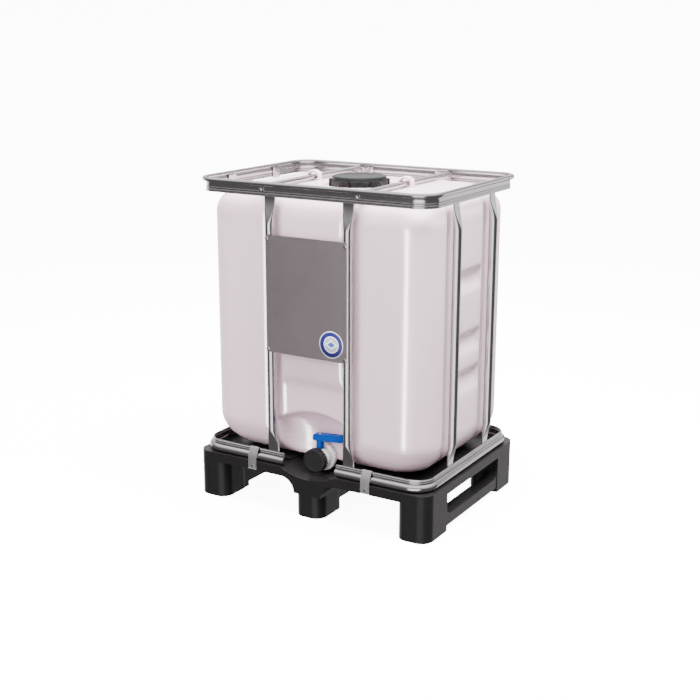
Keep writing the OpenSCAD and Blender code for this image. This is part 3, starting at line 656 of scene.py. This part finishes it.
def rail_path(gap):
    """Plan points round the rails' inner faces; gap leaves the front open on both sides of the middle."""
    points = round_plan(RAIL_X, RAIL_Y, RAIL_R, RAIL_CORNER_STEPS, (1, 1))
    if not gap:
        return points, True
    last_corner = 3 * (RAIL_CORNER_STEPS + 1)
    right_end, left_end = (gap, -RAIL_Y, 0, -1), (-gap, -RAIL_Y, 0, -1)
    return [right_end] + points[last_corner:] + points[:last_corner] + [left_end], False


def rail(section, gap=0):
    """A rail with one section all the way round its path."""
    path, closed = rail_path(gap)
    rings = [[(x + nx * d, y + ny * d, z) for d, z in section] for x, y, nx, ny in path]
    return loft(rings, closed_path=closed)


upper = rail(top_rail_section())
lower = rail(bottom_rail_section(), GAP)
piece("top_rail_skin", upper, RAIL_STEEL, "container", ["top_rail"], sharp=50)
piece("bottom_rail_skin", lower, RAIL_STEEL, "container", ["bottom_rail"], sharp=50)


def upright_shape():
    """A tube whose ends are pressed flat; +Y points outwards and y = 0 is the rails' inner face."""
    low, flat_low, tube_low, tube_high, flat_high, high = UPRIGHT_Z
    stations = [(low, 1.0), (flat_low, 1.0)]
    stations += [(flat_low + (tube_low - flat_low) * t, 1 - t) for t in np.linspace(0, 1, 18)[1:]]
    stations += [(z, 0.0) for z in np.linspace(tube_low, tube_high, 12)[1:]]
    stations += [(tube_high + (flat_high - tube_high) * t, t) for t in np.linspace(0, 1, 20)[1:]]
    stations += [(high, 1.0)]
    rings = []
    for z, t in stations:
        flat = t * t * (3 - 2 * t)
        half_w = TUBE_R + (FLAT_HALF_W - TUBE_R) * flat
        half_t = TUBE_R + (FLAT_HALF_T - TUBE_R) * flat
        middle = TUBE_OUT - (TUBE_OUT + FLAT_HALF_T) * flat
        power = 2 / (2 + 3 * flat)
        ring = []
        for j in range(48):
            a = TAU * j / 48
            c, s = math.cos(a), math.sin(a)
            dent = 5.0 * flat * (1 - flat) * math.exp(-(c * 2.2) ** 2) if s > 0 else 0
            x = half_w * math.copysign(abs(c) ** power, c)
            y = middle + half_t * math.copysign(abs(s) ** power, s) - dent
            ring.append((x, y, z))
        rings.append(ring)
    return loft(rings)


UPRIGHTS = {
    "upright_front_left": (-GROOVE_X, -RAIL_Y, 180),
    "upright_front_right": (GROOVE_X, -RAIL_Y, 180),
    "upright_back_left": (-GROOVE_X, RAIL_Y, 0),
    "upright_back_right": (GROOVE_X, RAIL_Y, 0),
    "upright_left_front": (-RAIL_X, -GROOVE_Y, 90),
    "upright_left_back": (-RAIL_X, GROOVE_Y, 90),
    "upright_right_front": (RAIL_X, -GROOVE_Y, -90),
    "upright_right_back": (RAIL_X, GROOVE_Y, -90)
}
for name, (x, y, angle) in UPRIGHTS.items():
    shape = moved(facing(upright_shape(), angle), Matrix.Translation((x, y, 0)))
    piece(name + "_tube", shape, TUBE_STEEL, "container", [name], bevel=0.5, segments=2)

BAR_Z = 969
BOLT_Z = RAIL_TOP - 23


def cross_bar():
    """A flat oval tube; each end is pressed to a tongue that turns down onto the rail."""
    tube = (12, 6, 0.55)  # half width, half thickness and squareness
    tongue = (9, 1.25, 0.35)
    press_y, bend_y = 256, 271.5
    bend_z, bend_r = 968.6, 5
    stations = [(y, BAR_Z, 0, *tube) for y in (0, 120, 240, press_y)]
    for t in np.linspace(0, 1, 7)[1:]:
        section = [a + (b - a) * t for a, b in zip(tube, tongue)]
        stations.append((press_y + 12 * t, BAR_Z + 4.6 * t, 0, *section))
    for tilt in (0, 22, 45, 68, 90):
        r = math.radians(tilt)
        stations.append((bend_y + bend_r * math.sin(r), bend_z + bend_r * math.cos(r), tilt, *tongue))
    stations.append((bend_y + bend_r, 949, 90, *tongue))
    half = []
    for y, z, tilt, half_w, half_t, power in stations:
        ring = []
        r = math.radians(tilt)
        for j in range(32):
            a = TAU * j / 32
            c, s = math.cos(a), math.sin(a)
            u = half_w * math.copysign(abs(c) ** power, c)
            v = half_t * math.copysign(abs(s) ** power, s)
            ring.append((u, y + v * math.sin(r), z + v * math.cos(r)))
        half.append(ring)
    mirrored = [[(u, -y, z) for u, y, z in ring] for ring in half[:0:-1]]
    return loft(mirrored + half)


def bolt_head(radius, height, shank):
    """Low domed head on a shank, about +Z from its bearing face."""
    profile = [(AXIS_R, -shank), (2.9, -shank), (2.9, 0), (radius, 0), (radius, height * 0.35)]
    for a in np.radians((15, 30, 45, 60, 75)):
        profile.append((radius * math.cos(a) ** 0.8, height * (0.35 + 0.65 * math.sin(a))))
    return lathe(profile + [(AXIS_R, height)], 40)


def hex_nut(radius, height):
    """Chamfered nut about +Z."""
    chamfer = radius * 0.86
    profile = [
        (3, 0), (chamfer, 0), (radius, height * 0.18),
        (radius, height * 0.82), (chamfer, height), (3, height)
    ]

    def flat_sides(angle, index):
        if index in (1, 4):
            return 1.0
        return math.cos(math.pi / 6) / math.cos((angle + math.pi / 6) % (math.pi / 3) - math.pi / 6)

    return lathe(profile, 72, flat_sides, closed=True)


for side, word in ((-1, "left"), (1, "right")):
    bar = moved(cross_bar(), Matrix.Translation((side * BAR_X, 0, 0)))
    piece("cross_bar_" + word + "_tube", bar, BAR_STEEL, "container", ["cross_bar_" + word], sharp=45)

bolts, nuts = [], []
for x in (-BAR_X, BAR_X):
    for end in (0, 180):
        head = moved(bolt_head(6, 3.5, 18), Matrix.Translation((0, -RAIL_Y - 4.4, BOLT_Z)) @ TURN_Y)
        nut = moved(hex_nut(5.7, 5), Matrix.Translation((0, -RAIL_Y + 9.5, BOLT_Z)) @ TURN_Y)
        shift = Matrix.Translation((x, 0, 0))
        bolts.append(moved(facing(head, end), shift))
        nuts.append(moved(facing(nut, end), shift))
piece("cross_bar_bolt_heads", joined(*bolts), BOLT_STEEL, "container", ["cross_bar_bolts"])
piece("cross_bar_hex_nuts", joined(*nuts), BOLT_STEEL, "container", ["cross_bar_nuts"])

# ------------------------------------------------------------------ label plate and clips

PLATE_LOW, PLATE_HIGH = node_box("label_plate")
PLATE_Y = PLATE_LOW.y


def label_plate():
    """Thin plate with round corners; its upper and lower edges fold back."""
    half_w = (PLATE_HIGH.x - PLATE_LOW.x) / 2
    middle = (PLATE_HIGH.z + PLATE_LOW.z) / 2
    half_h = (PLATE_HIGH.z - PLATE_LOW.z) / 2
    plan = round_plan(half_w, half_h, 5, 6, (1, 1))
    sheet = [[(x, y, middle + z) for x, z, _, _ in plan] for y in (PLATE_Y, PLATE_Y + 2)]
    folds = []
    for z in (PLATE_LOW.z, PLATE_HIGH.z - 1.5):
        folds.append(box((-half_w + 30, PLATE_Y + 1, z), (half_w - 30, PLATE_Y + 8, z + 1.5)))
    return joined(loft(sheet), *folds)


plate = label_plate()
piece("label_plate_sheet", plate, PLATE_STEEL, "container", ["label_plate"], bevel=0.5, segments=2)

rivets = []
for x in (-GROOVE_X, GROOVE_X):
    for z in (PLATE_LOW.z + 9, PLATE_HIGH.z - 11):
        rivets.append(moved(bolt_head(5.5, 2, 8), Matrix.Translation((x, PLATE_Y, z)) @ TURN_Y))
piece("plate_rivet_heads", joined(*rivets), BOLT_STEEL, "container", ["plate_rivets"])

STICKER_LOW, STICKER_HIGH = node_box("round_sticker")
STICKER_AT = (STICKER_LOW + STICKER_HIGH) / 2
STICKER_R = (STICKER_HIGH.x - STICKER_LOW.x) / 2
disc = lathe([(AXIS_R, 0), (STICKER_R, 0), (STICKER_R, 0.25), (STICKER_R - 0.2, 0.4), (AXIS_R, 0.4)], 128)
disc = moved(disc, Matrix.Translation((STICKER_AT.x, PLATE_Y, STICKER_AT.z)) @ TURN_Y)
piece("round_sticker_face", disc, sticker_print(STICKER_AT), "container", ["round_sticker"])

CLIP_X = 196
CLIP_W = 30
CLIP_Y = 297.4  # middle of the strap where it lies on the pallet's edge


def clip():
    """A strap hooked over the rail's flange and turned down onto the pallet's edge."""
    z, top = RIM_Z, LOW_RAIL_TOP
    line = rounded([
        (RAIL_Y - 1.3, top - 12), (RAIL_Y - 1.3, top + 0.6), (RAIL_Y + 4.4, top + 1.4),
        (RAIL_Y + 6.4, top - 1.5), (RAIL_Y + 16.6, z + 17),
        (CLIP_Y, z + 5), (CLIP_Y, z - 22), (CLIP_Y, z - 24), (CLIP_Y + 1.6, z - 27)
    ], 3)
    outline = strip(line, 2)
    rings = [[(x, y, z) for y, z in outline] for x in (-CLIP_W / 2, CLIP_W / 2)]
    return loft(rings)


for name in ("clip_front_left", "clip_front_right", "clip_back_left", "clip_back_right"):
    side = -1 if name.endswith("left") else 1
    end = 180 if "front" in name else 0
    shape = moved(facing(clip(), end), Matrix.Translation((side * CLIP_X, 0, 0)))
    piece(name + "_strap", shape, CLIP_STEEL, "container", [name], bevel=0.4, segments=2)

keep_node("clip_screws", BOLT_STEEL, 0.4, 2)

# ------------------------------------------------------------------ pallet

for name in ("pallet_deck", "skid_left", "skid_centre", "skid_right"):
    keep_node(name, PALLET_PLASTIC, 3.0, 4)
keep_node("skid_screws", BOLT_STEEL, 0.4, 2)

# ------------------------------------------------------------------ outlet valve

STEM_Y = 225


def ring_about_outlet(profile, steps=96, radius_at=None):
    """A ring about the outlet's axis from (radius, distance in front of the origin) pairs."""
    return along_outlet(lathe(profile, steps, radius_at, closed=True), z=OUTLET_Z)


def notched(count, depth, width, skip=()):
    """Radius factor with round notches at equal angles."""

    def factor(angle, index):
        if index in skip:
            return 1.0
        off = (angle * count / TAU + 0.5) % 1 - 0.5
        return 1 - depth * math.exp(-((off * TAU / count / width) ** 2))

    return factor


nut_profile = [
    (36.4, 199), (42, 199), (43.5, 200.5), (43.5, 210.2), (42.6, 211.6), (41, 212),
    (31.4, 212), (31.4, 209), (36.4, 209)
]
nut_shape = ring_about_outlet(nut_profile, 192, notched(12, 0.045, 0.05, (0, 6, 7, 8)))
piece("union_nut_ring", nut_shape, VALVE_PLASTIC, "container", ["union_nut"], sharp=30)

body_profile = [
    (22, 206), (35.4, 206), (36, 206.5), (36, 209), (31, 209),
    (31, 256.2), (30.4, 257), (22.6, 257), (22, 256.4)
]
boss = moved(lathe([(4.1, 188), (9, 188), (9, 195.6), (8.4, 196.2), (4.1, 196.2)], 48, closed=True),
             Matrix.Translation((0, -STEM_Y, 0)))
body_shape = joined(ring_about_outlet(body_profile), boss)
piece("valve_housing", body_shape, VALVE_PLASTIC, "container", ["valve_body"], sharp=30)

for name in ("outlet_gasket", "seat_ring", "stem_seal", "cap_gasket", "lid_seal"):
    keep_node(name, SEAL_RUBBER, 0.3, 2)
keep_node("valve_disc", VALVE_PLASTIC, 0.6, 2)
keep_node("valve_stem", BOLT_STEEL, 0.3, 2)
keep_node("handle_screw", BOLT_STEEL, 0.3, 2)

keep_node("valve_handle", LEVER_PLASTIC, 2.0, 4)

CAP_R = 37
CAP_BACK, CAP_FRONT = 240, 262
cap_profile = [
    (31.3, CAP_BACK), (CAP_R - 1.4, CAP_BACK), (CAP_R, CAP_BACK + 1.4), (CAP_R, CAP_FRONT - 4),
    (CAP_R - 0.8, CAP_FRONT - 1.8), (CAP_R - 2.6, CAP_FRONT - 0.4), (CAP_R - 5, CAP_FRONT),
    (CAP_R - 9, CAP_FRONT), (CAP_R - 10, CAP_FRONT - 0.8), (AXIS_R, CAP_FRONT - 0.8),
    (AXIS_R, CAP_FRONT - 3.4), (31.3, CAP_FRONT - 3.4)
]
cap_shape = ring_about_outlet(cap_profile, 288, notched(24, 0.045, 0.055, (0, *range(5, 12))))
piece("outlet_cap_fluted", cap_shape, CAP_PLASTIC, "cap", ["outlet_cap"], sharp=30)

# ------------------------------------------------------------------ filling lid

LID_LOW, LID_HIGH = node_box("screw_lid")
LID_R = 90.5
LUG_HALF_W = 13


def lid_shape():
    """Screw lid: a twelve-sided skirt under a round chamfered top; lid_lugs makes its six gripping lugs."""
    low, high = LID_LOW.z, LID_HIGH.z
    shoulder = low + 24
    profile = [
        (77.5, low), (82, low), (83.5, low + 1.2), (83.5, shoulder - 2), (82.5, shoulder),
        (81.5, shoulder + 1.5), (80.5, high - 3.5), (78.5, high - 1.2), (75, high), (66, high),
        (64.5, high - 0.8), (AXIS_R, high - 0.8), (AXIS_R, NECK_Z + 4), (77.5, NECK_Z + 4)
    ]

    def sides(angle, index):
        if index not in (1, 2, 3):
            return 1.0
        step = TAU / 12
        off = (angle - math.radians(1.3) + step / 2) % step - step / 2
        return 1.03 * math.cos(step / 2) / math.cos(off)

    return lathe(profile, 360, sides, closed=True)


def lid_lugs():
    """Six lugs round the lid's skirt."""
    lugs = []
    for i in range(6):
        lug = box((LID_R - 14, -LUG_HALF_W, LID_LOW.z), (LID_R, LUG_HALF_W, LID_LOW.z + 26), 3)
        lugs.append(facing(lug, 31.3 + 60 * i))
    return joined(*lugs)


piece("screw_lid_cover", lid_shape(), LID_PLASTIC, "lid", ["screw_lid"], sharp=32)
piece("screw_lid_lugs", lid_lugs(), LID_PLASTIC, "lid", bevel=1.6)

# ------------------------------------------------------------------ studio


def studio_floor():
    """A round pale floor that curves up into a wall far away."""
    flat_r, bend_r = 7000, 2000
    profile = [(0.02, 0), (3000, 0), (flat_r, 0)]
    for a in np.radians(range(10, 91, 10)):
        profile.append((flat_r + bend_r * math.sin(a), bend_r * (1 - math.cos(a))))
    profile.append((flat_r + bend_r, 8000))
    rings = []
    for r, z in profile:
        rings.append([(r * math.cos(TAU * j / 96), r * math.sin(TAU * j / 96), z) for j in range(96)])
    verts, faces = loft(rings, caps=False)
    mesh = bpy.data.meshes.new("studio_floor")
    mesh.from_pydata([tuple(c * MM for c in v) for v in verts], [], faces)
    mesh.shade_smooth()
    obj = bpy.data.objects.new("studio_floor", mesh)
    obj.data.materials.append(pale_floor())
    bpy.context.scene.collection.objects.link(obj)
    obj.visible_glossy = False
    obj.visible_diffuse = False
    obj.visible_shadow = False


def soft_light(name, place, target, size, power, colour=(1, 1, 1)):
    """A rectangular light that brightens surfaces but shows in no reflection."""
    light = bpy.data.lights.new(name, "AREA")
    light.shape = "RECTANGLE"
    light.size, light.size_y = size
    light.energy = power
    light.color = colour
    obj = bpy.data.objects.new(name, light)
    obj.location = place
    obj.rotation_euler = (Vector(target) - Vector(place)).to_track_quat("-Z", "Y").to_euler()
    obj.visible_glossy = False
    bpy.context.scene.collection.objects.link(obj)
    return obj


def glint(name, place, target, size, power, pieces):
    """A light that only shows as a reflection, and only in some pieces."""
    obj = soft_light(name, place, target, size, power)
    obj.visible_glossy = True
    obj.visible_diffuse = False
    lit = bpy.data.collections.new(name + "_pieces")
    for piece_name in pieces:
        lit.objects.link(bpy.data.objects[piece_name])
    obj.light_linking.receiver_collection = lit


class Sky:
    """The world's colour, worked out from the direction."""

    def __init__(self):
        world = bpy.data.worlds.new("studio_world")
        bpy.context.scene.world = world
        world.use_nodes = True
        self.tree = world.node_tree
        split = self.tree.nodes.new("ShaderNodeSeparateXYZ")
        where = self.tree.nodes.new("ShaderNodeTexCoord")
        self.tree.links.new(where.outputs["Generated"], split.inputs[0])
        self.up = split.outputs["Z"]
        self.round = self.math("ARCTAN2", split.outputs["X"], self.math("MULTIPLY", split.outputs["Y"], -1))

    def math(self, kind, a, b=0.0):
        """One sum on two values."""
        node = self.tree.nodes.new("ShaderNodeMath")
        node.operation = kind
        for socket, value in zip(node.inputs, (a, b)):
            if isinstance(value, bpy.types.NodeSocket):
                self.tree.links.new(value, socket)
            else:
                socket.default_value = value
        return node.outputs[0]

    def step(self, value, start, end, low, high):
        """A soft step from low to high while the value goes from start to end."""
        node = self.tree.nodes.new("ShaderNodeMapRange")
        node.interpolation_type = "SMOOTHSTEP"
        self.tree.links.new(value, node.inputs["Value"])
        for name, number in (("From Min", start), ("From Max", end), ("To Min", low), ("To Max", high)):
            node.inputs[name].default_value = number
        return node.outputs[0]

    def panel(self, angle, half_width, low, high, strength):
        """A tall soft light at an angle round from the front, between two heights."""
        off = self.math("ABSOLUTE", self.math("SUBTRACT", self.round, math.radians(angle)))
        edge = math.radians(half_width)
        across = self.step(off, edge * 0.6, edge, strength, 0.0)
        upwards = self.math("MULTIPLY", self.step(self.up, low - 0.1, low, 0.0, 1.0),
                            self.step(self.up, high, high + 0.2, 1.0, 0.0))
        return self.math("MULTIPLY", across, upwards)


PANELS = [  # angle, half width, low, high, strength
    (15, 34, -0.5, 0.0, 3.0),
    (158, 14, -0.5, 0.1, 1.6),
    (-110, 24, -0.5, 0.1, 2.4),
    (-152, 30, 0.08, 0.5, 1.2)
]


def studio_world():
    """Dark surroundings, a bright ceiling and tall soft panels round the object."""
    sky = Sky()
    total = sky.math("ADD", sky.step(sky.up, -0.1, 0.4, 0.14, 0.5), sky.step(sky.up, 0.3, 0.9, 0.0, 1.6))
    for panel in PANELS:
        total = sky.math("ADD", total, sky.panel(*panel))
    back = sky.tree.nodes["Background"]
    sky.tree.links.new(total, back.inputs["Strength"])
    back.inputs["Color"].default_value = (1.0, 0.96, 0.975, 1)


studio_floor()
studio_world()
soft_light("key", (-1.30, -3.6, 1.8), (0.1, 0, 0.7), (1.2, 2.0), 145)
soft_light("front", (0.9, -3.2, 0.7), (0, 0, 0.4), (1.2, 0.8), 12)
soft_light("side", (1.6, 0.3, 2.9), (0.4, 0, 0.5), (0.9, 0.9), 170, (0.95, 1.0, 0.90))
soft_light("side_low", (3.2, 0.5, 0.9), (0.4, 0, 0.3), (1.2, 0.8), 34)
soft_light("back", (-0.8, 2.4, 2.6), (0, 0.3, 0.6), (1.4, 1.2), 90)
soft_light("left", (-2.4, -0.2, 2.6), (-0.4, 0, 0.6), (1.2, 1.2), 90)
soft_light("top", (0.5, -0.6, 3.3), (0, 0, 0.6), (1.8, 1.8), 470)
glint("tank_glint", (0.05, -3.6, -0.3), (0.3, 0, 0.6), (0.7, 2.0), 330, ["tank_skin"])
glint("plate_glint", (-1.15, -3.6, -0.4), (0.2, 0, 0.6), (0.34, 2.2), 40, ["label_plate_sheet"])

SENSOR = 36
FOCAL_RATIO = 1207.9 / 700  # focal length over the picture's width
CAMERA_AT = (1.8160, -3.0949, 1.4113)
CAMERA_ROUND, CAMERA_DOWN, CAMERA_ROLL = (math.radians(a) for a in (30.83, 15.06, 0.1))

camera_data = bpy.data.cameras.new("camera")
camera_data.lens = FOCAL_RATIO * SENSOR
camera_data.sensor_width = SENSOR
camera = bpy.data.objects.new("camera", camera_data)
camera.location = CAMERA_AT
turn = Matrix.Rotation(CAMERA_ROUND, 4, "Z") @ Matrix.Rotation(TAU / 4 - CAMERA_DOWN, 4, "X")
camera.rotation_euler = (turn @ Matrix.Rotation(CAMERA_ROLL, 4, "Z")).to_euler()
bpy.context.scene.collection.objects.link(camera)
bpy.context.scene.camera = camera
